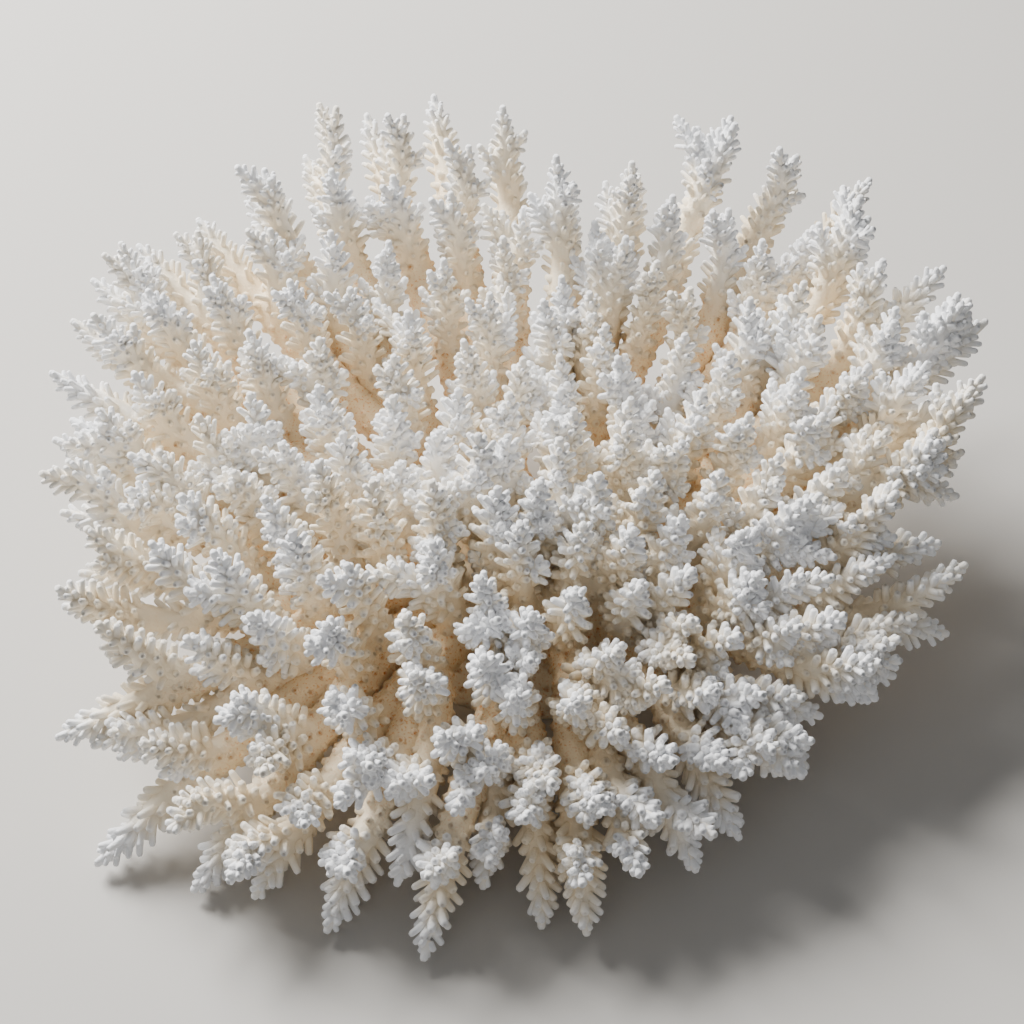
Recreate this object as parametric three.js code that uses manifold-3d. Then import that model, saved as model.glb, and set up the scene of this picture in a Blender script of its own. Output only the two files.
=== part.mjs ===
// The bleached skeleton of a table coral. A stalk, cut flat underneath, widens into a crown. Sixteen limbs
// grow out of the crown and fork into branches. Upright branchlets stand on all of them and make the table,
// which droops at the front. Millimetres and degrees, +Z up, -Y the front. The origin is the centre of the
// flat cut under the stalk.
import * as THREE from "three";
import { mergeVertices } from "three/addons/utils/BufferGeometryUtils.js";
import Module from "manifold-3d";

const wasm = await Module();
wasm.setup();

// Driving dimensions

// The free space left where one piece meets another.
const GAP = 0.35;

const STALK = {
  sides: 11,
  // [radius, height] of the outside, from the cut up to the crown
  profile: [[34, 0], [30, 6], [26, 14], [36, 29], [32, 37]],
  top: 42,
  lobes: 4,
  lobeDepth: 0.11,
  lobeTurn: 0.6,
  // branchlets nearer to the axis than crownReach root on the crown itself, at the height crownRoots
  crownReach: 31,
  crownRoots: 34,
};

// A limb or branch leaves its root level and turns up or down to its tip from this share of the way outward.
const LIMB = {
  sides: 5,
  rootReach: 26,
  rootHeight: 31,
  bendShare: 0.42,
  // [share of the length, radius]
  rings: [[0, 6.2], [0.36, 6.8], [0.82, 5.4]],
};

const BRANCH = {
  sides: 5,
  bendShare: 0.4,
  rings: [[0, 6], [0.42, 5.8], [0.8, 5.2]],
};

// The branchlets of the table: how many there are, how much closer they stand at the crown (0.5 is evenly
// spread), how far out the last one roots as a share of the rim's distance, and how length, tilt and
// thickness run to the rim.
const SHOOT = {
  sides: 5,
  count: 172,
  crowding: 0.54,
  outermost: 0.86,
  innerLength: 50,
  lengthSpread: 0.13,
  leanPower: 1.35,
  leanSpread: 6,
  radius: 6.9,
  radiusSpread: 0.1,
  rimThinning: 0.14,
  // where a branchlet is thickest and how deep its pointed foot reaches into the carrier, as shares of its
  // length
  widestAt: 0.54,
  foot: 0.09,
};

// A branchlet now and then divides part of the way up.
const SIDE_SHOOT = { every: 4, from: 0.3, length: 0.6, radius: 0.8, spread: 33, wander: 70 };

// The sixteen limbs, anticlockwise from the right. fork is the height at which the limb divides, at
// FORK_REACH from the axis. tips are the far ends of the limb and its branches, the limb's own first, each
// as [azimuth, distance from the axis, height]. lean is how far branchlets tilt outward at the rim, and
// rimLength how long they are there.
const FORK_REACH = 46;
const LIMBS = [
  { fork: 36, lean: 42, rimLength: 30, tips: [[-7, 116, 56], [5, 124, 68]] },
  { fork: 37, lean: 38, rimLength: 32, tips: [[22, 146, 80], [13, 130, 74]] },
  { fork: 38, lean: 34, rimLength: 34, tips: [[31, 146, 84], [40, 134, 86]] },
  { fork: 38, lean: 26, rimLength: 34, tips: [[49, 166, 80], [57, 158, 84]] },
  { fork: 38, lean: 20, rimLength: 36, tips: [[74, 123, 87], [65, 130, 86], [84, 110, 90]] },
  { fork: 38, lean: 24, rimLength: 34, tips: [[101, 168, 85], [93, 152, 79], [109, 166, 83]] },
  { fork: 38, lean: 32, rimLength: 33, tips: [[126, 156, 77], [118, 156, 80], [134, 152, 76]] },
  { fork: 37, lean: 42, rimLength: 34, tips: [[149, 158, 74], [142, 156, 76], [156, 152, 74]] },
  { fork: 37, lean: 50, rimLength: 32, tips: [[171, 142, 62], [163, 150, 69], [180, 136, 54]] },
  { fork: 36, lean: 56, rimLength: 28, tips: [[-163, 128, 46], [-171, 130, 50], [-154, 146, 30]] },
  { fork: 35, lean: 80, rimLength: 20, tips: [[-144, 149, 4], [-151, 128, 18], [-134, 134, 4]] },
  { fork: 34, lean: 88, rimLength: 18, tips: [[-127, 126, 7], [-117, 123, 4], [-110, 108, 14]] },
  { fork: 33, lean: 92, rimLength: 16, tips: [[-98, 100, 9], [-104, 122, 4], [-89, 109, 5]] },
  { fork: 33, lean: 90, rimLength: 16, tips: [[-75, 106, 20], [-83, 114, 8], [-66, 107, 15]] },
  { fork: 34, lean: 80, rimLength: 17, tips: [[-48, 101, 28], [-57, 103, 14], [-38, 98, 12]] },
  { fork: 35, lean: 64, rimLength: 22, tips: [[-23, 104, 20], [-31, 110, 38], [-13, 122, 32]] },
];

// How closely a branchlet's tip follows the spot that it fills when its carrier runs beside that spot.
const REACH_ACROSS = 0.9;

// A carrier is tried as a root at this many places, which leave its end free.
const ROOT_PLACES = 24;
const LAST_ROOT = 0.86;

const GOLDEN_ANGLE = 137.50776;

// Steps that never repeat, for an even scatter of things and of kinds.
const THING_STEP = 0.6180339887;
const KIND_STEP = 0.7548776662;

// Vertices closer than this are one.
const WELD = 1e-4;

// A direction whose height share is above this is too steep to be squared against the vertical.
const STEEP = 0.9;

// Points and directions

// The point at an azimuth, a distance from the axis and a height.
function around(azimuth, reach, height) {
  const a = THREE.MathUtils.degToRad(azimuth);
  return new THREE.Vector3(reach * Math.cos(a), reach * Math.sin(a), height);
}

// The unit direction that leans from the vertical towards an azimuth.
function leaning(azimuth, lean) {
  const l = THREE.MathUtils.degToRad(lean);
  return around(azimuth, Math.sin(l), Math.cos(l));
}

function azimuthOf(point) {
  return THREE.MathUtils.radToDeg(Math.atan2(point.y, point.x));
}

// The turn from one azimuth on to another, from 0 up to 360.
function turn(from, to) {
  return (((to - from) % 360) + 360) % 360;
}

// An even but unordered value from -1 to 1 for the nth thing of a kind.
function scatter(n, kind) {
  return ((n * THING_STEP + kind * KIND_STEP) % 1) * 2 - 1;
}

function bend(start, middle, end) {
  return new THREE.QuadraticBezierCurve3(start, middle, end);
}

// The course of every limb and branch

function planLimb({ fork, tips }, i) {
  const [azimuth, reach, height] = tips[0];
  const middle = around(azimuth, THREE.MathUtils.lerp(FORK_REACH, reach, LIMB.bendShare), fork);
  const start = around(azimuth, LIMB.rootReach, LIMB.rootHeight);
  const name = `limb_${String(i + 1).padStart(2, "0")}`;
  return { name, curve: bend(start, middle, around(azimuth, reach, height)) };
}

function planBranches({ name, curve }, i) {
  const { fork, tips } = LIMBS[i];
  const start = curve.getPoint(nearestShare(curve, FORK_REACH));
  return tips.slice(1).map(([azimuth, reach, height], k) => {
    const middle = around(azimuth, THREE.MathUtils.lerp(FORK_REACH, reach, BRANCH.bendShare), fork);
    return { name: `${name}_branch_${k + 1}`, curve: bend(start, middle, around(azimuth, reach, height)) };
  });
}

// The share of a curve at which it is nearest to a distance from the axis.
function nearestShare(curve, reach) {
  const shares = Array.from({ length: ROOT_PLACES + 1 }, (_, k) => k / ROOT_PLACES);
  const miss = (share) => Math.abs(Math.hypot(curve.getPoint(share).x, curve.getPoint(share).y) - reach);
  return shares.reduce((best, share) => (miss(share) < miss(best) ? share : best));
}

const limbs = LIMBS.map(planLimb);
const branches = limbs.flatMap(planBranches);

// The branchlets: each has an owner, a root on its carrier, a tip and a radius

// Points along every carrier, where a branchlet may root.
function rootPlaces() {
  return [...limbs, ...branches].flatMap(({ name, curve }) => {
    const shares = Array.from({ length: ROOT_PLACES + 1 }, (_, k) => (LAST_ROOT * k) / ROOT_PLACES);
    return shares.map((share) => ({ owner: name, point: curve.getPoint(share) }));
  });
}

// The rim in the order of azimuth, with what the branchlets do there.
const rim = LIMBS.flatMap(({ tips, lean, rimLength }) => {
  return tips.map(([azimuth, reach]) => ({ azimuth, reach, lean, length: rimLength }));
}).sort((a, b) => turn(0, a.azimuth) - turn(0, b.azimuth));

function rimAt(azimuth) {
  const past = (one) => turn(one.azimuth, azimuth);
  const before = rim.reduce((best, one) => (past(one) < past(best) ? one : best));
  const after = rim[(rim.indexOf(before) + 1) % rim.length];
  const share = past(before) / turn(before.azimuth, after.azimuth);
  const between = (key) => THREE.MathUtils.lerp(before[key], after[key], share);
  return { reach: between("reach"), lean: between("lean"), length: between("length") };
}

// Branchlets fill the table in a sunflower spiral. Each roots on the nearest carrier and leans outward.
function planShoot(places, n) {
  const azimuth = (n * GOLDEN_ANGLE) % 360;
  const outward = ((n + 0.5) / SHOOT.count) ** SHOOT.crowding * SHOOT.outermost;
  const edge = rimAt(azimuth);
  const spot = around(azimuth, edge.reach * outward, 0);
  const miss = ({ point }) => Math.hypot(point.x - spot.x, point.y - spot.y);
  const onCrown = { owner: "stalk", point: spot.clone().setZ(STALK.crownRoots) };
  const nearest = places.reduce((best, one) => (miss(one) < miss(best) ? one : best));
  const { owner, point } = edge.reach * outward < STALK.crownReach ? onCrown : nearest;
  const lean = edge.lean * outward ** SHOOT.leanPower + SHOOT.leanSpread * scatter(n, 1);
  const fullLength = THREE.MathUtils.lerp(SHOOT.innerLength, edge.length, outward);
  const length = fullLength * (1 + SHOOT.lengthSpread * scatter(n, 2));
  const across = new THREE.Vector3(spot.x - point.x, spot.y - point.y, 0).multiplyScalar(REACH_ACROSS);
  const tip = point.clone().addScaledVector(leaning(azimuth, lean), length).add(across);
  const radius = SHOOT.radius * (1 - SHOOT.rimThinning * outward) * (1 + SHOOT.radiusSpread * scatter(n, 3));
  return { owner, root: point, tip, radius };
}

function planSideShoot({ owner, root, tip, radius }, n) {
  const way = tip.clone().sub(root);
  const start = root.clone().addScaledVector(way, SIDE_SHOOT.from);
  const length = way.length() * SIDE_SHOOT.length;
  const slope = Math.tan(THREE.MathUtils.degToRad(SIDE_SHOOT.spread));
  const aside = around(azimuthOf(root) + SIDE_SHOOT.wander * scatter(n, 4), slope, 0);
  const heading = way.normalize().add(aside).normalize();
  const end = start.clone().addScaledVector(heading, length);
  return { owner, root: start, tip: end, radius: radius * SIDE_SHOOT.radius };
}

function planShoots() {
  const places = rootPlaces();
  const main = Array.from({ length: SHOOT.count }, (_, n) => planShoot(places, n));
  const side = main.filter((_, n) => n % SIDE_SHOOT.every === 0).map(planSideShoot);
  return [...main, ...side];
}

const shoots = planShoots();

// Solids

// A closed geometry's solid.
function solid(geometry) {
  geometry.deleteAttribute("normal");
  geometry.deleteAttribute("uv");
  const merged = mergeVertices(geometry, WELD);
  const mesh = new wasm.Mesh({
    numProp: 3,
    vertProperties: new Float32Array(merged.attributes.position.array),
    triVerts: new Uint32Array(merged.index.array),
  });
  return new wasm.Manifold(mesh);
}

// A round body that follows a curve, begins at the share foot of it and ends in a point. rings holds [share
// of the curve, radius], and grow makes the body thicker and longer all round.
function grown(curve, { rings, sides }, foot, grow) {
  const length = curve.getLength();
  const profile = rings.map(([share, radius]) => new THREE.Vector2(radius + grow, share * length));
  const first = new THREE.Vector2(0, foot * length - grow);
  const last = new THREE.Vector2(0, length + grow);
  const geometry = new THREE.LatheGeometry([first, ...profile, last], sides);
  const position = geometry.getAttribute("position");
  for (let i = 0; i < position.count; i++) {
    const along = position.getY(i) / length;
    const share = THREE.MathUtils.clamp(along, 0, 1);
    const way = curve.getTangent(share);
    const aside = Math.abs(way.z) > STEEP ? new THREE.Vector3(1, 0, 0) : new THREE.Vector3(0, 0, 1);
    const across = aside.cross(way).normalize();
    const over = way.clone().cross(across);
    const point = curve.getPoint(share).addScaledVector(way, (along - share) * length);
    point.addScaledVector(across, position.getZ(i)).addScaledVector(over, position.getX(i));
    position.setXYZ(i, point.x, point.y, point.z);
  }
  return solid(geometry);
}

function trunkSolid(grow) {
  const outside = STALK.profile.map(([radius, height]) => new THREE.Vector2(radius + grow, height));
  const profile = [new THREE.Vector2(0, 0), ...outside, new THREE.Vector2(0, STALK.top + grow)];
  const geometry = new THREE.LatheGeometry(profile, STALK.sides).rotateX(Math.PI / 2);
  const position = geometry.getAttribute("position");
  for (let i = 0; i < position.count; i++) {
    const angle = Math.atan2(position.getY(i), position.getX(i));
    const swell = 1 + STALK.lobeDepth * Math.cos(STALK.lobes * angle + STALK.lobeTurn) * Math.cos(angle);
    position.setXY(i, position.getX(i) * swell, position.getY(i) * swell);
  }
  return solid(geometry);
}

function shootSolid({ root, tip, radius }, grow) {
  const rings = [[SHOOT.widestAt, radius]];
  return grown(new THREE.LineCurve3(root, tip), { rings, sides: SHOOT.sides }, -SHOOT.foot, grow);
}

// The pieces, from the stalk outward: carrier gives the body that a piece has before its branchlets.
const pieces = [
  { name: "stalk", carrier: trunkSolid },
  ...limbs.map(({ name, curve }) => ({ name, carrier: (grow) => grown(curve, LIMB, 0, grow) })),
  ...branches.map(({ name, curve }) => ({ name, carrier: (grow) => grown(curve, BRANCH, 0, grow) })),
];

// A piece with its branchlets as one solid.
function joined({ name, carrier }, grow) {
  const mine = shoots.filter(({ owner }) => owner === name).map((shoot) => shootSolid(shoot, grow));
  return mine.reduce((sum, body) => sum.add(body), carrier(grow));
}

const cutters = [];

// Each piece is cut clear of those before it. A branchlet's end that a cut has parted from the rest is left
// out.
function cutClear(piece) {
  let body = joined(piece, 0);
  const mine = body.boundingBox();
  cutters.forEach(({ cutter, box }) => {
    const apart = [0, 1, 2].some((k) => box.min[k] > mine.max[k] || box.max[k] < mine.min[k]);
    if (!apart) body = body.subtract(cutter);
  });
  const cutter = joined(piece, GAP);
  cutters.push({ cutter, box: cutter.boundingBox() });
  return body.decompose().reduce((largest, one) => (one.volume() > largest.volume() ? one : largest));
}

const CORAL = new THREE.MeshStandardMaterial({ color: 0xe9dfd0, roughness: 0.8, metalness: 0 });

function meshOf(piece) {
  const { vertProperties, triVerts } = cutClear(piece).getMesh();
  const geometry = new THREE.BufferGeometry();
  geometry.setAttribute("position", new THREE.BufferAttribute(vertProperties, 3));
  geometry.setIndex(new THREE.BufferAttribute(triVerts, 1));
  geometry.computeVertexNormals();
  const mesh = new THREE.Mesh(geometry, CORAL);
  mesh.name = piece.name;
  return mesh;
}

const coral = new THREE.Group();
coral.add(...pieces.map(meshOf));

export default coral;
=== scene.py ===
"""The looks of a bleached table coral, grown round its solids: skin, corallites, material and studio."""
import math

import bpy
import numpy as np
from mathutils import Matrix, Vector, noise
from mathutils.bvhtree import BVHTree
from mathutils.kdtree import KDTree


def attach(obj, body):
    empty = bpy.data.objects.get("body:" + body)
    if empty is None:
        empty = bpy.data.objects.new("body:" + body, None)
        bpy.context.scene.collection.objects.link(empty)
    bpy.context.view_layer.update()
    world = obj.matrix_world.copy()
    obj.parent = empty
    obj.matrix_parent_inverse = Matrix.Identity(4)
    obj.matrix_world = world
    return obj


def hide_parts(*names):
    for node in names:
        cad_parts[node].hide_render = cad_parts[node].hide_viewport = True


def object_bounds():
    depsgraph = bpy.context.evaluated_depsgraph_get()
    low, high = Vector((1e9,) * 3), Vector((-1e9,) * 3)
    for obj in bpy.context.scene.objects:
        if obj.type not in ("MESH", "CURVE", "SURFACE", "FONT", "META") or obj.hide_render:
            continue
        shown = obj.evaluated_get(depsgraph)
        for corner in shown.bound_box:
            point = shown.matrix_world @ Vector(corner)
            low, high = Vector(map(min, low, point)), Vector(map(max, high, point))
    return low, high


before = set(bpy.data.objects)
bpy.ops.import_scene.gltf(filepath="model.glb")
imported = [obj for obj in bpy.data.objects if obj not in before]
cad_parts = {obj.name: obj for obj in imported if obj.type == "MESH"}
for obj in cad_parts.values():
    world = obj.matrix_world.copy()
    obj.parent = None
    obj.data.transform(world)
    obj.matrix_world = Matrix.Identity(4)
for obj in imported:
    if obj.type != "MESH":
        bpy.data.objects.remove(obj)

CAD_BOX = [list(corner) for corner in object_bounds()]

# The growth plan repeats the solids' own, in millimetres and degrees. MM brings it to metres.
MM = 0.001
LOW, HIGH = (np.array(corner) / MM for corner in CAD_BOX)

# The trunk: [radius, height] of its outside, its height at the middle, and the lobes round it.
TRUNK = [(34, 0), (30, 6), (26, 14), (36, 29), (32, 37)]
TRUNK_TOP = 42
TRUNK_CAP = [(18, 40.5), (0.5, TRUNK_TOP)]
TRUNK_SIDES, TRUNK_RINGS = 96, 44
LOBES, LOBE_DEPTH, LOBE_TURN = 4, 0.11, 0.6

# Nearer the axis than CROWN_REACH the branchlets grow on the crown, rooted at this height.
CROWN_REACH, CROWN_ROOTS = 31, 34

# Where the limbs are rooted, and how far along its way each limb and branch bends.
LIMB_ROOT_REACH, LIMB_ROOT_HEIGHT, LIMB_BEND = 26, 31, 0.42
BRANCH_BEND = 0.4

# The branchlets, in a spiral from the axis to the rim. Every fourth one carries a side branchlet.
SHOOT_COUNT, CROWDING, OUTERMOST = 172, 0.54, 0.86
INNER_LENGTH, LENGTH_SPREAD = 50, 0.13
LEAN_POWER, LEAN_SPREAD = 1.35, 6
SIDE_EVERY, SIDE_FROM, SIDE_LENGTH, SIDE_SPREAD, SIDE_WANDER = 4, 0.3, 0.6, 33, 70
REACH_ACROSS = 0.9
ROOT_PLACES, LAST_ROOT = 24, 0.86

# [fork height, lean at the rim, branchlet length at the rim, [tip azimuth, tip reach, tip height] ...]
FORK_REACH = 46
LIMBS = [
    [36, 42, 30, (-7, 116, 56), (5, 124, 68)],
    [37, 38, 32, (22, 146, 80), (13, 130, 74)],
    [38, 34, 34, (31, 146, 84), (40, 134, 86)],
    [38, 26, 34, (49, 166, 80), (57, 158, 84)],
    [38, 20, 36, (74, 123, 87), (65, 130, 86), (84, 110, 90)],
    [38, 24, 34, (101, 168, 85), (93, 152, 79), (109, 166, 83)],
    [38, 32, 33, (126, 156, 77), (118, 156, 80), (134, 152, 76)],
    [37, 42, 34, (149, 158, 74), (142, 156, 76), (156, 152, 74)],
    [37, 50, 32, (171, 142, 62), (163, 150, 69), (180, 136, 54)],
    [36, 56, 28, (-163, 128, 46), (-171, 130, 50), (-154, 146, 30)],
    [35, 80, 20, (-144, 149, 4), (-151, 128, 18), (-134, 134, 4)],
    [34, 88, 18, (-127, 126, 7), (-117, 123, 4), (-110, 108, 14)],
    [33, 92, 16, (-98, 100, 9), (-104, 122, 4), (-89, 109, 5)],
    [33, 90, 16, (-75, 106, 20), (-83, 114, 8), (-66, 107, 15)],
    [34, 80, 17, (-48, 101, 28), (-57, 103, 14), (-38, 98, 12)],
    [35, 64, 22, (-23, 104, 20), (-31, 110, 38), (-13, 122, 32)],
]
GOLDEN_ANGLE = 137.50776
SCATTER_STEP, SCATTER_KIND_STEP = 0.6180339887, 0.7548776662

# A heading with this much rise, at most 1, counts as upright.
UPRIGHT, UPRIGHT_STRAND = 0.9, 0.8

# The twigs, too short and fine for the solids: how many on a branchlet at the back and in front, and their
# places, lengths and slants on it.
TWIGS_BEHIND, TWIGS_BEFORE, BEFORE_REACH = 3, 1, 20
TWIG_FROM, TWIG_FROM_SPREAD = 0.42, 0.24
TWIG_LENGTH, TWIG_LENGTH_SPREAD = 14, 6
TWIG_SLANT, TWIG_SLANT_SPREAD = 34, 9

# How a strand of coral changes with age, which is the distance back from its growing tip: the body's
# radius, and the corallites' length, radius, slant from the strand and spacing along it.
AXIAL_LENGTH, AXIAL_RADIUS = 3.6, 1.1
BODY_END, FIRST_TUBE, AXIAL_ROOT = 0.5 * AXIAL_LENGTH, 0.9 * AXIAL_LENGTH, 1.6 * AXIAL_LENGTH
BODY_RADIUS = ((0, 3, 8, 16, 30, 45, 70, 110, 150), (0.9, 1.35, 2.15, 3.2, 4.5, 5.3, 5.9, 6.5, 7.0))
TUBE_LENGTH = ((3, 6, 10, 18, 28, 38), (1.9, 3.0, 3.9, 4.5, 4.0, 2.8))
TUBE_RADIUS = ((2, 6, 12, 40), (0.62, 0.7, 0.76, 0.9))
TUBE_SLANT = ((2, 6, 14, 30, 40), (30, 40, 47, 56, 62))
TUBE_STEP = ((2, 12, 28, 45, 80, 150), (0.62, 0.54, 0.6, 0.7, 0.6, 0.7))
TUBE_SUNK = 1.0

# Towards the front and right the corallites are longer and wider, by these shares.
FULLNESS_MIDDLE, FULLNESS_SLOPE = 0.5, (0.0017, -0.005)
FULLER_LENGTH, FULLER_RADIUS = 0.15, 0.4

# Up to OPEN_AGE the corallites are open tubes. Their lengths, radii, slants and turns wander by these.
OPEN_AGE = 29
LENGTH_WANDER, RADIUS_WANDER, SLANT_WANDER, TURN_WANDER = 0.32, 0.14, 11, 18

# The calices on old skeleton are low and lie square to the skin.
CALICE_LENGTH = ((32, 45, 90), (2.6, 1.7, 1.4))
CALICE_RADIUS = ((32, 60, 120), (1.15, 1.2, 1.05))
CALICE_SUNK, CALICE_FORWARD = 0.7, 0.3
TRUNK_CALICES, TRUNK_CALICES_FROM, TRUNK_CALICES_TO, TRUNK_AGE = 230, 3, 36, 120

# A tube's and a calice's outline: [share of the length, share of the radius, how deep in the mouth, which
# sets the painted shade inside the mouth].
TUBE_OUTLINE = [(0, 1.3, 0), (0.88, 1.0, 0), (1.0, 0.55, 0.1), (0.86, 0, 1)]
CALICE_OUTLINE = [(0, 1.5, 0), (1.0, 0.62, 0.1), (0.4, 0, 1)]
TUBE_SIDES, CALICE_SIDES, AXIAL_SIDES = 6, 6, 10
YOUNGER_OUTWARD = 2.2

# How the strands are drawn: their steps and sides, the branchlets' bow, and how much their stoutness varies.
STRAND_STEP, FEWEST_STEPS = 2.5, 4
SHOOT_SIDES, LIMB_SIDES = 9, 14
SHOOT_BOW, BOW_RISE = 0.035, 0.3
STOUTNESS_WANDER = 0.12
ROOT_SUNK = {"crown": 6, "main": 5.5, "side": 3, "twig": 2.4}

# The skin that a piece's bodies share: its mesh size, how often it is smoothed and its creases are filled,
# and its knobs.
SKIN_SIZE = 1.9
SMOOTHINGS, FILLINGS, FILLING, AGE_SMOOTHINGS = 1, 16, 0.6, 4
KNOB_SIZE, KNOB_HEIGHT, KNOBBY_AGE, LEAST_KNOBBY = 5.0, 0.45, 40, 0.25

# What lies lower than this on the skin lies in the cut.
CUT_REACH = 0.7

# A corallite is buried if it ends this deep in a strand, by the nearest of its points.
BURIED_DEPTH, NEAREST_POINTS = 0.1, 5

# How far inside the solids' box twigs and corallites end.
BOX_MARGIN = 1.2


# Points and directions


def unit(vectors):
    return vectors / np.linalg.norm(vectors, axis=-1, keepdims=True)


def around(azimuth, reach, height):
    """The point at an azimuth, a distance from the axis and a height."""
    a = math.radians(azimuth)
    return np.array([reach * math.cos(a), reach * math.sin(a), height])


def leaning(azimuth, lean):
    tilt = math.radians(lean)
    return around(azimuth, math.sin(tilt), math.cos(tilt))


def azimuth_of(point):
    return math.degrees(math.atan2(point[1], point[0]))


def turn(start, end):
    return (end - start) % 360


def inside_box(points):
    """Which points are inside the solids' box by the margin."""
    return np.all((points > LOW + BOX_MARGIN) & (points < HIGH - BOX_MARGIN), axis=-1)


def scatter(n, kind):
    """An even but unordered value from -1 to 1 for the nth thing of a kind."""
    return (n * SCATTER_STEP + kind * SCATTER_KIND_STEP) % 1 * 2 - 1


def across_and_over(headings):
    """Two directions square to each heading and to each other."""
    aside = np.where(np.abs(headings[:, 2:]) > UPRIGHT, [[1.0, 0, 0]], [[0, 0, 1.0]])
    across = unit(np.cross(aside, headings))
    return across, np.cross(headings, across)


def curve_points(curve, shares):
    start, middle, end = curve
    t = np.asarray(shares, float)[:, None]
    return (1 - t) ** 2 * start + 2 * (1 - t) * t * middle + t**2 * end


# The course of every limb, branch, branchlet and twig


def plan_carriers():
    """The limbs and branches, each a name and the three points of its curve."""
    limbs = []
    branches = []
    shares = np.arange(ROOT_PLACES + 1) / ROOT_PLACES
    for i, (fork, _lean, _length, first, *others) in enumerate(LIMBS):
        name = f"limb_{i + 1:02d}"
        azimuth, reach, height = first
        middle = around(azimuth, FORK_REACH + (reach - FORK_REACH) * LIMB_BEND, fork)
        curve = (around(azimuth, LIMB_ROOT_REACH, LIMB_ROOT_HEIGHT), middle, around(azimuth, reach, height))
        limbs.append((name, curve))
        points = curve_points(curve, shares)
        start = points[np.argmin(np.abs(np.hypot(points[:, 0], points[:, 1]) - FORK_REACH))]
        for k, (azimuth, reach, height) in enumerate(others):
            middle = around(azimuth, FORK_REACH + (reach - FORK_REACH) * BRANCH_BEND, fork)
            branches.append((f"{name}_branch_{k + 1}", (start, middle, around(azimuth, reach, height))))
    return limbs + branches


def rim_at(azimuth):
    """The rim's distance, and the lean and length of the branchlets there."""
    rim = [(tip[0], tip[1], row[1], row[2]) for row in LIMBS for tip in row[3:]]
    rim.sort(key=lambda one: turn(0, one[0]))
    k = min(range(len(rim)), key=lambda i: turn(rim[i][0], azimuth))
    before, after = rim[k], rim[(k + 1) % len(rim)]
    share = turn(before[0], azimuth) / turn(before[0], after[0])
    return [before[i] + (after[i] - before[i]) * share for i in (1, 2, 3)]


def plan_shoots(carriers):
    """The branchlets, each a kind, an owner, a root and a tip: first the main ones, then their side ones."""
    shares = LAST_ROOT * np.arange(ROOT_PLACES + 1) / ROOT_PLACES
    places = np.concatenate([curve_points(curve, shares) for _, curve in carriers])
    owners = [name for name, _ in carriers for _ in shares]
    main = []
    for n in range(SHOOT_COUNT):
        azimuth = n * GOLDEN_ANGLE % 360
        outward = ((n + 0.5) / SHOOT_COUNT) ** CROWDING * OUTERMOST
        reach, rim_lean, rim_length = rim_at(azimuth)
        spot = around(azimuth, reach * outward, 0)
        nearest = np.argmin(np.hypot(places[:, 0] - spot[0], places[:, 1] - spot[1]))
        kind, owner, root = "main", owners[nearest], places[nearest]
        if reach * outward < CROWN_REACH:
            kind, owner, root = "crown", "stalk", spot + [0, 0, CROWN_ROOTS]
        lean = rim_lean * outward**LEAN_POWER + LEAN_SPREAD * scatter(n, 1)
        length = (INNER_LENGTH + (rim_length - INNER_LENGTH) * outward) * (1 + LENGTH_SPREAD * scatter(n, 2))
        across = (spot - root) * [REACH_ACROSS, REACH_ACROSS, 0]
        main.append((kind, owner, root, root + leaning(azimuth, lean) * length + across))
    side = []
    for n, (_, owner, root, tip) in enumerate(main[::SIDE_EVERY]):
        way = tip - root
        length = np.linalg.norm(way)
        aside = around(azimuth_of(root) + SIDE_WANDER * scatter(n, 4), math.tan(math.radians(SIDE_SPREAD)), 0)
        start = root + way * SIDE_FROM
        side.append(("side", owner, start, start + unit(way / length + aside) * length * SIDE_LENGTH))
    return main + side


def plan_twigs(shoots):
    """The twigs on the branchlets, in the same form."""
    twigs = []
    for n, (_, owner, root, tip) in enumerate(shoots):
        way = tip - root
        heading = unit(way)
        across, over = across_and_over(heading[None])
        for k in range(TWIGS_BEFORE if tip[1] < -BEFORE_REACH else TWIGS_BEHIND):
            m = n * TWIGS_BEHIND + k
            turned = math.radians(m * GOLDEN_ANGLE)
            slope = math.tan(math.radians(TWIG_SLANT + TWIG_SLANT_SPREAD * scatter(m, 12)))
            aside = (across[0] * math.cos(turned) + over[0] * math.sin(turned)) * slope
            start = root + way * (TWIG_FROM + TWIG_FROM_SPREAD * scatter(m, 13))
            reach = TWIG_LENGTH + TWIG_LENGTH_SPREAD * scatter(m, 14)
            end = start + unit(heading + aside) * reach
            if inside_box(end):
                twigs.append(("twig", owner, start, end))
    return twigs


# Strands: an axis of points with their ages, radii and directions across


def strand(points, sides, bare=0, stout=1):
    """A strand through points that end at its growing tip, with its first bare millimetres in another."""
    steps = np.linalg.norm(np.diff(points, axis=0), axis=1)
    age = np.concatenate([np.cumsum(steps[::-1])[::-1], [0]])
    heading = unit(np.gradient(points, axis=0))
    aside = [1.0, 0, 0] if abs(heading[:, 2]).mean() > UPRIGHT_STRAND else [0, 0, 1.0]
    across = unit(np.cross(aside, heading))
    return {"points": points, "age": age, "radii": np.interp(age, *BODY_RADIUS) * stout, "heading": heading,
            "across": across, "over": np.cross(heading, across), "sides": sides, "bare": bare, "stout": stout}


def carrier_strand(curve):
    length = np.linalg.norm(curve[2] - curve[0])
    return strand(curve_points(curve, np.linspace(0, 1, int(length / STRAND_STEP))), LIMB_SIDES)


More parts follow.
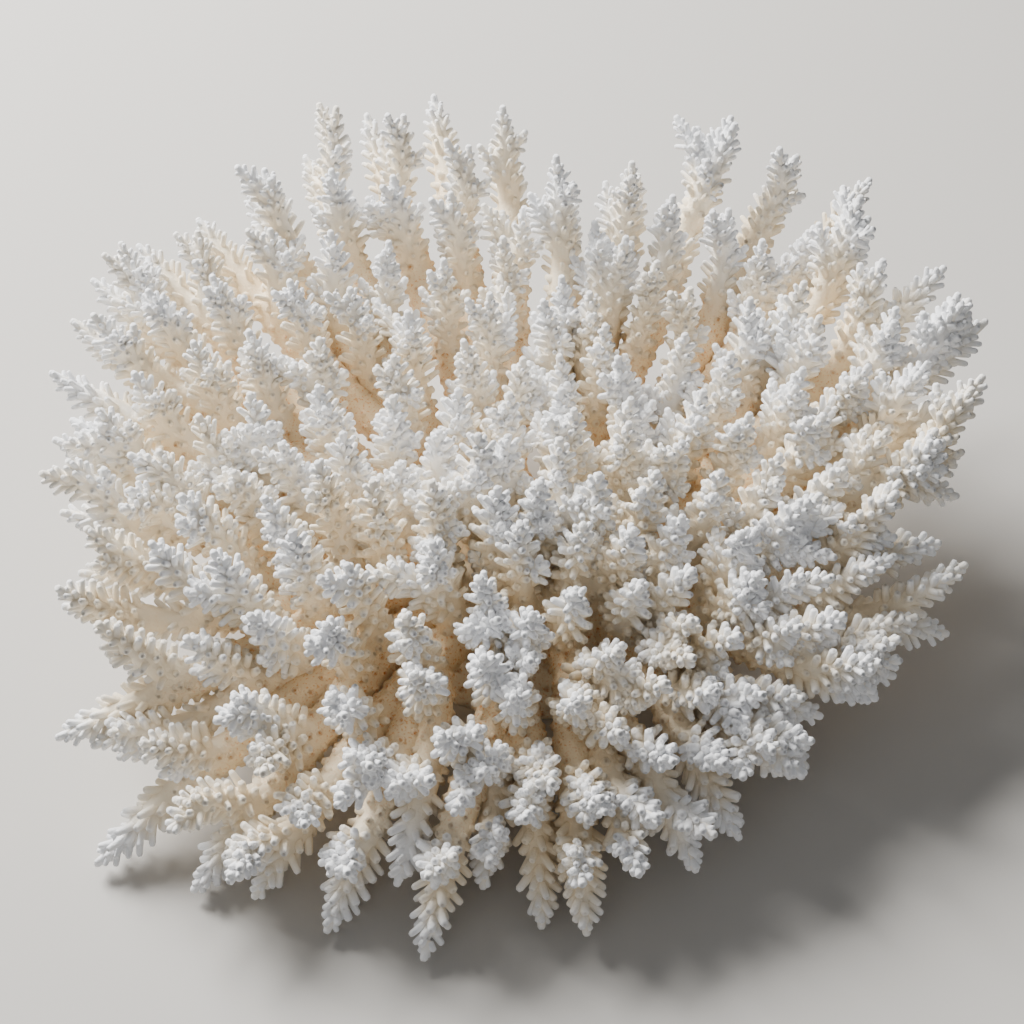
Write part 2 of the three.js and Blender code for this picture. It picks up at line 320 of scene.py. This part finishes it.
def shoot_strand(n, kind, root, tip):
    """A branchlet's or twig's strand, a little bowed to one side."""
    way = tip - root
    length = np.linalg.norm(way)
    shares = np.linspace(0, 1, max(int(length / STRAND_STEP), FEWEST_STEPS))[:, None]
    sideways = unit(np.cross(way, around(360 * scatter(n, 5), 1, BOW_RISE)))
    bow = sideways * length * SHOOT_BOW * scatter(n, 6) * 4 * shares * (1 - shares)
    stout = 1 + STOUTNESS_WANDER * scatter(n, 15)
    return strand(root + way * shares + bow, SHOOT_SIDES, ROOT_SUNK[kind], stout)


# Meshes, each a dict of vertices, quads, triangles, ages and mouths


def tube_faces(rings, sides):
    """The side faces of a tube with its rings one after another."""
    ring = np.arange(rings - 1)[:, None] * sides
    side = np.arange(sides)[None, :]
    after = (side + 1) % sides
    return np.stack([ring + side, ring + after, ring + sides + after, ring + sides + side], -1).reshape(-1, 4)


def fan_faces(first, apex, sides):
    side = np.arange(sides)
    return np.stack([first + side, first + (side + 1) % sides, np.full(sides, apex)], -1)


def closed_tube(rings, ends):
    """A closed body of rings, with a point at each end."""
    count, sides = rings.shape[:2]
    start = fan_faces(0, count * sides, sides)[:, ::-1]
    end = fan_faces((count - 1) * sides, count * sides + 1, sides)
    vertices = np.concatenate([rings.reshape(-1, 3), ends])
    triangles = np.concatenate([start, end])
    return {"vertices": vertices, "quads": tube_faces(count, sides), "triangles": triangles}


def strand_body(made):
    """The plain body round a strand. It ends inside the axial corallite."""
    keep = made["age"] >= BODY_END
    points = made["points"][keep]
    angles = np.arange(made["sides"]) / made["sides"] * 2 * math.pi
    spokes = np.cos(angles)[None, :, None] * made["across"][keep][:, None]
    spokes = spokes + np.sin(angles)[None, :, None] * made["over"][keep][:, None]
    rings = points[:, None] + spokes * made["radii"][keep][:, None, None]
    return closed_tube(rings, np.stack([points[0], points[-1]]))


def trunk_body():
    """The trunk and crown, turned round the axis and lobed as the solid is."""
    outline = np.array(TRUNK + TRUNK_CAP, float)
    steps = np.linspace(0, len(outline) - 1, TRUNK_RINGS)
    radius = np.interp(steps, range(len(outline)), outline[:, 0])
    height = np.interp(steps, range(len(outline)), outline[:, 1])
    angles = np.arange(TRUNK_SIDES) / TRUNK_SIDES * 2 * math.pi
    swell = 1 + LOBE_DEPTH * np.cos(LOBES * angles + LOBE_TURN) * np.cos(angles)
    reach = radius[:, None] * swell[None]
    level = np.repeat(height[:, None], TRUNK_SIDES, 1)
    rings = np.stack([reach * np.cos(angles), reach * np.sin(angles), level], -1)
    return closed_tube(rings, np.array([[0, 0, 0], [0, 0, TRUNK_TOP]]))


def as_mesh(name, parts):
    """One mesh of many parts, in metres."""
    shifts = np.cumsum([0] + [len(part["vertices"]) for part in parts])
    vertices = np.concatenate([part["vertices"] for part in parts]) * MM
    quads = np.concatenate([part["quads"] + shift for part, shift in zip(parts, shifts)])
    triangles = np.concatenate([part["triangles"] + shift for part, shift in zip(parts, shifts)])
    corners = np.concatenate([quads.ravel(), triangles.ravel()]).astype(np.int32)
    sizes = np.concatenate([np.full(len(quads), 4), np.full(len(triangles), 3)])
    starts = np.concatenate([[0], np.cumsum(sizes)[:-1]]).astype(np.int32)
    mesh = bpy.data.meshes.new(name)
    mesh.vertices.add(len(vertices))
    mesh.vertices.foreach_set("co", vertices.astype(np.float32).ravel())
    mesh.loops.add(len(corners))
    mesh.loops.foreach_set("vertex_index", corners)
    mesh.polygons.add(len(sizes))
    mesh.polygons.foreach_set("loop_start", starts)
    mesh.polygons.foreach_set("use_smooth", np.ones(len(sizes), bool))
    mesh.update(calc_edges=True)
    return mesh


def place(name, mesh):
    made = bpy.data.objects.new(name, mesh)
    bpy.context.scene.collection.objects.link(made)
    return made


# The skin of a piece: its bodies grown together


def remeshed(parts):
    """The vertices and quads of the one skin round many bodies."""
    mesh = as_mesh("growing", parts)
    growing = place("growing", mesh)
    fuse = growing.modifiers.new("fuse", "REMESH")
    fuse.mode = "VOXEL"
    fuse.voxel_size = SKIN_SIZE * MM
    skin = bpy.data.meshes.new_from_object(growing.evaluated_get(bpy.context.evaluated_depsgraph_get()))
    vertices = np.empty(len(skin.vertices) * 3, np.float32)
    skin.vertices.foreach_get("co", vertices)
    corners = np.empty(len(skin.loops), np.int32)
    skin.loops.foreach_get("vertex_index", corners)
    bpy.data.objects.remove(growing)
    bpy.data.meshes.remove(mesh)
    bpy.data.meshes.remove(skin)
    return vertices.reshape(-1, 3).astype(float) / MM, corners.reshape(-1, 4)


def neighbour_means(values, quads):
    """The mean of each vertex's neighbours' values."""
    starts = np.concatenate([quads.ravel(), np.roll(quads, -1, 1).ravel()])
    ends = np.concatenate([np.roll(quads, -1, 1).ravel(), quads.ravel()])
    count = np.bincount(starts, minlength=len(values))
    sums = [np.bincount(starts, values[ends, k], len(values)) for k in range(values.shape[1])]
    return np.stack(sums, -1) / count[:, None]


def vertex_normals(points, quads):
    a, b, c, d = (points[quads[:, k]] for k in range(4))
    normals = np.cross(c - a, d - b)
    sums = [np.bincount(quads.ravel(), np.repeat(normals[:, k], 4), len(points)) for k in range(3)]
    return unit(np.stack(sums, -1) + 1e-9)


def strands_tree(strands):
    """A tree of the strands' points, with their ages and radii."""
    points = np.concatenate([made["points"] for made in strands])
    tree = KDTree(len(points))
    for i, point in enumerate(points):
        tree.insert(point, i)
    tree.balance()
    ages, radii = (np.concatenate([made[key] for made in strands]) for key in ("age", "radii"))
    return tree, ages, radii


def skin_part(bodies, strands):
    """The skin round a piece's bodies, with its creases filled, its knobs raised and its ages."""
    points, quads = remeshed(bodies)
    for _ in range(SMOOTHINGS):
        points = (points + neighbour_means(points, quads)) / 2
    for _ in range(FILLINGS):
        pull = neighbour_means(points, quads) - points
        out = vertex_normals(points, quads)
        points = points + out * np.maximum(np.sum(pull * out, 1), 0)[:, None] * FILLING
    tree, ages, _ = strands_tree(strands)
    age = np.array([[ages[tree.find(point)[1]]] for point in points])
    for _ in range(AGE_SMOOTHINGS):
        age = neighbour_means(age, quads)
    knobs = np.array([noise.noise(Vector(point / KNOB_SIZE)) for point in points])
    knobs = knobs * KNOB_HEIGHT * np.clip(age[:, 0] / KNOBBY_AGE, LEAST_KNOBBY, 1)
    points = points + vertex_normals(points, quads) * knobs[:, None]
    points[points[:, 2] < CUT_REACH, 2] = 0
    return {"vertices": points, "quads": quads, "triangles": np.zeros((0, 3), int), "age": age[:, 0],
            "mouth": np.zeros(len(points))}


# Corallites


def corallites(base, way, length, radius, age, sides, outline):
    """Many corallites at once, rings outward from the foot and then the point at the bottom of the mouth."""
    count = len(base)
    across, over = across_and_over(way)
    angles = np.arange(sides) / sides * 2 * math.pi
    spokes = np.cos(angles)[None, :, None] * across[:, None] + np.sin(angles)[None, :, None] * over[:, None]
    rings = []
    for share, wide, _ in outline[:-1]:
        centre = base + way * (length * share)[:, None]
        rings.append(centre[:, None] + spokes * (radius * wide)[:, None, None])
    bottom = base + way * (length * outline[-1][0])[:, None]
    vertices = np.concatenate([np.concatenate(rings, 1), bottom[:, None]], 1)
    each = vertices.shape[1]
    shift = (np.arange(count) * each)[:, None, None]
    quads = (tube_faces(len(rings), sides)[None] + shift).reshape(-1, 4)
    triangles = (fan_faces((len(rings) - 1) * sides, each - 1, sides)[None] + shift).reshape(-1, 3)
    per_ring = [sides] * len(rings) + [1]
    shares = np.repeat([entry[0] for entry in outline], per_ring)
    # How deep in the mouth each point lies, which sets the painted shade inside it.
    mouths = np.repeat([entry[2] for entry in outline], per_ring)
    ages = age[:, None] - shares[None] * length[:, None] * YOUNGER_OUTWARD
    return {"vertices": vertices.reshape(-1, 3), "quads": quads, "triangles": triangles,
            "age": ages.reshape(-1), "mouth": np.tile(mouths, count)}


def spiral_ages(limit):
    """The ages of the corallites round a strand, one golden angle after another."""
    ages = [FIRST_TUBE]
    while ages[-1] < limit:
        ages.append(ages[-1] + float(np.interp(ages[-1], *TUBE_STEP)))
    return np.array(ages[:-1])


def spiral(made, seed):
    """The foot, spoke, heading and age of every corallite round a strand."""
    ages = spiral_ages(made["age"][0] - made["bare"])
    n = np.arange(len(ages))
    order = np.argsort(made["age"])

    def at(key):
        values = made[key][order]
        return np.stack([np.interp(ages, made["age"][order], values[:, k]) for k in range(3)], -1)

    across, over, heading = unit(at("across")), unit(at("over")), unit(at("heading"))
    radii = np.interp(ages, made["age"][order], made["radii"][order])
    angle = np.radians(n * GOLDEN_ANGLE + 360 * scatter(seed, 7) + TURN_WANDER * scatter(n, 8))
    spoke = np.cos(angle)[:, None] * across + np.sin(angle)[:, None] * over
    return at("points") + spoke * radii[:, None], spoke, heading, ages, n


def exposed(tips, tree, radii):
    """Which corallites end in the open: inside the solids' box, and not inside a strand."""
    shown = inside_box(tips)
    for i in np.flatnonzero(shown):
        if any(distance < radii[k] - BURIED_DEPTH for _, k, distance in tree.find_n(tips[i], NEAREST_POINTS)):
            shown[i] = False
    return shown


def axial(made):
    """The corallite at a strand's growing tip."""
    ahead = made["heading"][-1:]
    length = np.array([AXIAL_ROOT])
    return corallites(made["points"][-1:] - ahead * AXIAL_ROOT, ahead, length, np.array([AXIAL_RADIUS]),
                      length * YOUNGER_OUTWARD, AXIAL_SIDES, TUBE_OUTLINE)


def strand_corallites(made, seed, skin, all_strands):
    """A strand's corallites: the axial one, open tubes on its young end and low calices further back."""
    tree, _, tree_radii = all_strands
    feet, spoke, heading, ages, n = spiral(made, seed)
    slant = np.radians(np.interp(ages, *TUBE_SLANT) + SLANT_WANDER * scatter(n + seed, 9))
    way = unit(np.cos(slant)[:, None] * heading + np.sin(slant)[:, None] * spoke)
    base = feet - spoke * TUBE_SUNK
    full = np.clip(FULLNESS_MIDDLE + made["points"][-1, :2] @ FULLNESS_SLOPE, 0, 1)
    length = np.interp(ages, *TUBE_LENGTH) * made["stout"] * (1 + FULLER_LENGTH * full)
    length *= 1 + LENGTH_WANDER * scatter(n * 3 + seed, 10)
    radius = np.interp(ages, *TUBE_RADIUS) * (1 + FULLER_RADIUS * full)
    radius *= 1 + RADIUS_WANDER * scatter(n * 2 + seed, 11)
    old = ages >= OPEN_AGE
    for i in np.flatnonzero(old):
        point, normal, _, _ = skin.find_nearest(feet[i])
        way[i] = unit(np.array(normal) + CALICE_FORWARD * heading[i])
        base[i] = np.array(point) - way[i] * CALICE_SUNK
    length[old] = np.interp(ages[old], *CALICE_LENGTH)
    radius[old] = np.interp(ages[old], *CALICE_RADIUS) * (1 + RADIUS_WANDER * scatter(n[old], 11))
    shown = exposed(base + way * length[:, None], tree, tree_radii)
    parts = [axial(made)]
    for which, sides, outline in ((~old, TUBE_SIDES, TUBE_OUTLINE), (old, CALICE_SIDES, CALICE_OUTLINE)):
        which = which & shown
        if which.any():
            parts.append(corallites(base[which], way[which], length[which], radius[which], ages[which], sides,
                                    outline))
    return parts


def trunk_calices(skin):
    """The worn calices round the trunk."""
    n = np.arange(TRUNK_CALICES)
    ages = np.full(TRUNK_CALICES, float(TRUNK_AGE))
    base = np.empty((TRUNK_CALICES, 3))
    way = np.empty((TRUNK_CALICES, 3))
    length = np.interp(ages, *CALICE_LENGTH)
    for i in n:
        height = TRUNK_CALICES_FROM + (TRUNK_CALICES_TO - TRUNK_CALICES_FROM) * (i + 0.5) / TRUNK_CALICES
        point, normal, _, _ = skin.find_nearest(around(i * GOLDEN_ANGLE, TRUNK[0][0], height))
        way[i] = normal
        base[i] = np.array(point) - way[i] * CALICE_SUNK
    radius = np.interp(ages, *CALICE_RADIUS) * (1 + RADIUS_WANDER * scatter(n, 16))
    return corallites(base, way, length, radius, ages, CALICE_SIDES, CALICE_OUTLINE)


# Material

# The skeleton's colour at these shares of OLDEST, in millimetres of age: its own cool white turning cream and
# tan with age, where the cream in the crevices between the tubes is also a painted warm glow, standing for
# light through the translucent coral. Its age is shifted in soft patches.
OLDEST = 100.0
AGE_TONE_AND_GLOW_COLORS = [
    (0.0, (0.92, 0.925, 0.94)),
    (0.03, (0.93, 0.92, 0.90)),
    (0.08, (0.935, 0.88, 0.785)),
    (0.18, (0.94, 0.835, 0.66)),
    (0.4, (0.93, 0.77, 0.535)),
    (1.0, (0.85, 0.655, 0.41)),
]
PATCH_SCALE, PATCH_SHIFT = 38, 28.0

# The grain, which also gives the pores of old skeleton: where they begin, how sharp and how dark they are.
# The pores' darkness is painted shade in them.
GRAIN_SCALE, GRAIN_BUMP, GRAIN_DEPTH = 1500, 0.4, 0.0003
ROUGHEST, ROUGHNESS_RANGE, GLOSS = 0.78, 0.25, 0.35
OLD_FROM, OLD_OVER = 24.0, 30.0
PIT_LEVEL, PIT_SHARPNESS, PIT_SHARE, PIT_SHADE_COLOR = 0.42, 5.0, 0.8, (0.86, 0.55, 0.28, 1)
# Painted shade inside the corallite mouths, deepest at the bottom: grey in young ones, warm orange-brown in
# old ones.
YOUNG_MOUTH_SHADE, OLD_MOUTH_SHADE = (0.76, 0.75, 0.74, 1), (0.84, 0.45, 0.17, 1)


def coral_material():
    """Bleached aragonite: cool white at the growing tips, ivory and tan with age with a painted warm glow in
    the crevices, pitted with pores darkened by painted shade, and painted shade in the corallite mouths.
    """
    material = bpy.data.materials.new("bleached_coral")
    material.use_nodes = True
    tree = material.node_tree
    nodes, links = tree.nodes, tree.links
    shader = nodes["Principled BSDF"]

    def link(value, socket):
        if isinstance(value, bpy.types.NodeSocket):
            links.new(value, socket)
        else:
            socket.default_value = value

    def calculated(operation, a, b, clamp=False):
        made = nodes.new("ShaderNodeMath")
        made.operation = operation
        made.use_clamp = clamp
        link(a, made.inputs[0])
        link(b, made.inputs[1])
        return made.outputs[0]

    def mixed(blend, factor, a, b):
        made = nodes.new("ShaderNodeMix")
        made.data_type = "RGBA"
        made.blend_type = blend
        link(factor, made.inputs[0])
        link(a, made.inputs[6])
        link(b, made.inputs[7])
        return made.outputs[2]

    def ramped(value, stops):
        made = nodes.new("ShaderNodeValToRGB")
        link(value, made.inputs[0])
        elements = made.color_ramp.elements
        while len(elements) < len(stops):
            elements.new(0.5)
        for element, (position, color) in zip(elements, stops):
            element.position = position
            element.color = (*color, 1)
        return made.outputs[0]

    def attribute(name):
        made = nodes.new("ShaderNodeAttribute")
        made.attribute_name = name
        return made.outputs["Fac"]

    where = nodes.new("ShaderNodeTexCoord").outputs["Object"]

    def noisy(scale):
        made = nodes.new("ShaderNodeTexNoise")
        made.inputs["Scale"].default_value = scale
        made.inputs["Detail"].default_value = 0
        links.new(where, made.inputs["Vector"])
        return made.outputs["Fac"]

    age = attribute("age")
    mouth = attribute("mouth")
    grain = noisy(GRAIN_SCALE)
    patches = noisy(PATCH_SCALE)

    shift = calculated("MULTIPLY", calculated("SUBTRACT", patches, 0.5), PATCH_SHIFT)
    # Cream and tan with age: the skeleton's own tone, and in the crevices also a painted warm glow of light
    # through the coral.
    tone_and_glow = ramped(calculated("DIVIDE", calculated("ADD", age, shift), OLDEST, clamp=True), AGE_TONE_AND_GLOW_COLORS)

    old = calculated("DIVIDE", calculated("SUBTRACT", age, OLD_FROM), OLD_OVER, clamp=True)
    # Darker orange-brown dots where the grain dips on old skeleton: painted shade in the pores.
    pit = calculated("MULTIPLY", calculated("SUBTRACT", PIT_LEVEL, grain), PIT_SHARPNESS, clamp=True)
    pit = calculated("MULTIPLY", calculated("MULTIPLY", pit, old), PIT_SHARE)
    pore_shaded = mixed("MULTIPLY", pit, tone_and_glow, PIT_SHADE_COLOR)
    # The mouths darken towards their bottom: painted shade, grey in young corallites and orange-brown in old
    # ones.
    mouth_shade = mixed("MIX", old, YOUNG_MOUTH_SHADE, OLD_MOUTH_SHADE)
    links.new(mixed("MULTIPLY", mouth, pore_shaded, mouth_shade), shader.inputs["Base Color"])

    bump = nodes.new("ShaderNodeBump")
    bump.inputs["Strength"].default_value = GRAIN_BUMP
    bump.inputs["Distance"].default_value = GRAIN_DEPTH
    links.new(grain, bump.inputs["Height"])
    links.new(bump.outputs[0], shader.inputs["Normal"])
    roughness = calculated("SUBTRACT", ROUGHEST, calculated("MULTIPLY", grain, ROUGHNESS_RANGE))
    links.new(roughness, shader.inputs["Roughness"])
    shader.inputs["Specular IOR Level"].default_value = GLOSS
    return material


# The studio, in metres: a floor, and lights with their place, size, power and colour

FLOOR_HALF, FLOOR_COLOR, FLOOR_ROUGHNESS = 3.0, (0.52, 0.5, 0.47, 1), 0.9
LIGHTS = {
    "key": ((-0.75, 0.75, 0.95), 0.7, 70, (1.0, 0.99, 0.97)),
    "fill": ((-0.5, -1.2, 1.1), 1.2, 2, (0.96, 0.98, 1.0)),
}
LIT_POINT = (0, 0, 0.05)
SKY_COLOR, SKY_STRENGTH = (0.95, 0.97, 1, 1), 0.22


def floor():
    half = FLOOR_HALF
    corners = [(-half, -half, 0), (half, -half, 0), (half, half, 0), (-half, half, 0)]
    mesh = bpy.data.meshes.new("floor")
    mesh.from_pydata(corners, [], [(0, 1, 2, 3)])
    material = bpy.data.materials.new("floor_paper")
    material.use_nodes = True
    shader = material.node_tree.nodes["Principled BSDF"]
    shader.inputs["Base Color"].default_value = FLOOR_COLOR
    shader.inputs["Roughness"].default_value = FLOOR_ROUGHNESS
    mesh.materials.append(material)
    place("floor", mesh)


def area_light(name, spot, size, power, color):
    light = bpy.data.lights.new(name, "AREA")
    light.size = size
    light.energy = power
    light.color = color
    made = place(name, light)
    made.location = spot
    made.rotation_euler = (Vector(LIT_POINT) - Vector(spot)).to_track_quat("-Z", "Y").to_euler()


def studio():
    floor()
    for name, row in LIGHTS.items():
        area_light(name, *row)
    world = bpy.data.worlds.new("studio")
    world.use_nodes = True
    background = world.node_tree.nodes["Background"]
    background.inputs[0].default_value = SKY_COLOR
    background.inputs[1].default_value = SKY_STRENGTH
    bpy.context.scene.world = world


# The camera looks down at the coral's middle from the photograph's 45 degrees.
CAMERA_ELEVATION = 45
CAMERA_DISTANCE = 0.62
CAMERA_TARGET = (-0.006, 0.004, 0.05)
CAMERA_LENS, CAMERA_SENSOR, CAMERA_NEAR = 75.16, 36, 0.01


def camera():
    data = bpy.data.cameras.new("camera")
    data.lens = CAMERA_LENS
    data.sensor_width = CAMERA_SENSOR
    data.clip_start = CAMERA_NEAR
    made = place("camera", data)
    rise = math.radians(CAMERA_ELEVATION)
    target = Vector(CAMERA_TARGET)
    made.location = target + Vector((0, -math.cos(rise), math.sin(rise))) * CAMERA_DISTANCE
    made.rotation_euler = (target - made.location).to_track_quat("-Z", "Y").to_euler()
    bpy.context.scene.camera = made


# The coral, one detailed piece for each solid


def coral():
    material = coral_material()
    carriers = plan_carriers()
    shoots = plan_shoots(carriers)
    strands = {"stalk": []}
    for name, curve in carriers:
        strands[name] = [carrier_strand(curve)]
    for n, (kind, owner, root, tip) in enumerate(shoots + plan_twigs(shoots)):
        strands[owner].append(shoot_strand(n, kind, root, tip))
    everything = strands_tree([made for members in strands.values() for made in members])
    seed = 0
    for name, members in strands.items():
        bodies = [trunk_body()] if name == "stalk" else []
        bodies.extend(strand_body(made) for made in members)
        parts = [skin_part(bodies, members)]
        skin = BVHTree.FromPolygons(parts[0]["vertices"].tolist(), parts[0]["quads"].tolist())
        for made in members:
            seed += 1
            parts.extend(strand_corallites(made, seed, skin, everything))
        if name == "stalk":
            parts.append(trunk_calices(skin))
        for part in parts:
            part["vertices"] = np.clip(part["vertices"], LOW, HIGH)
        mesh = as_mesh(f"{name}_skeleton", parts)
        # The ages set the colour with its painted glow, and the mouth depths set the painted shade inside the
        # mouths.
        for key in ("age", "mouth"):
            values = np.concatenate([part[key] for part in parts]).astype(np.float32)
            mesh.attributes.new(key, "FLOAT", "POINT").data.foreach_set("value", values)
        mesh.materials.append(material)
        piece = place(f"{name}_skeleton", mesh)
        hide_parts(name)
        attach(piece, "root")


camera()
studio()
coral()
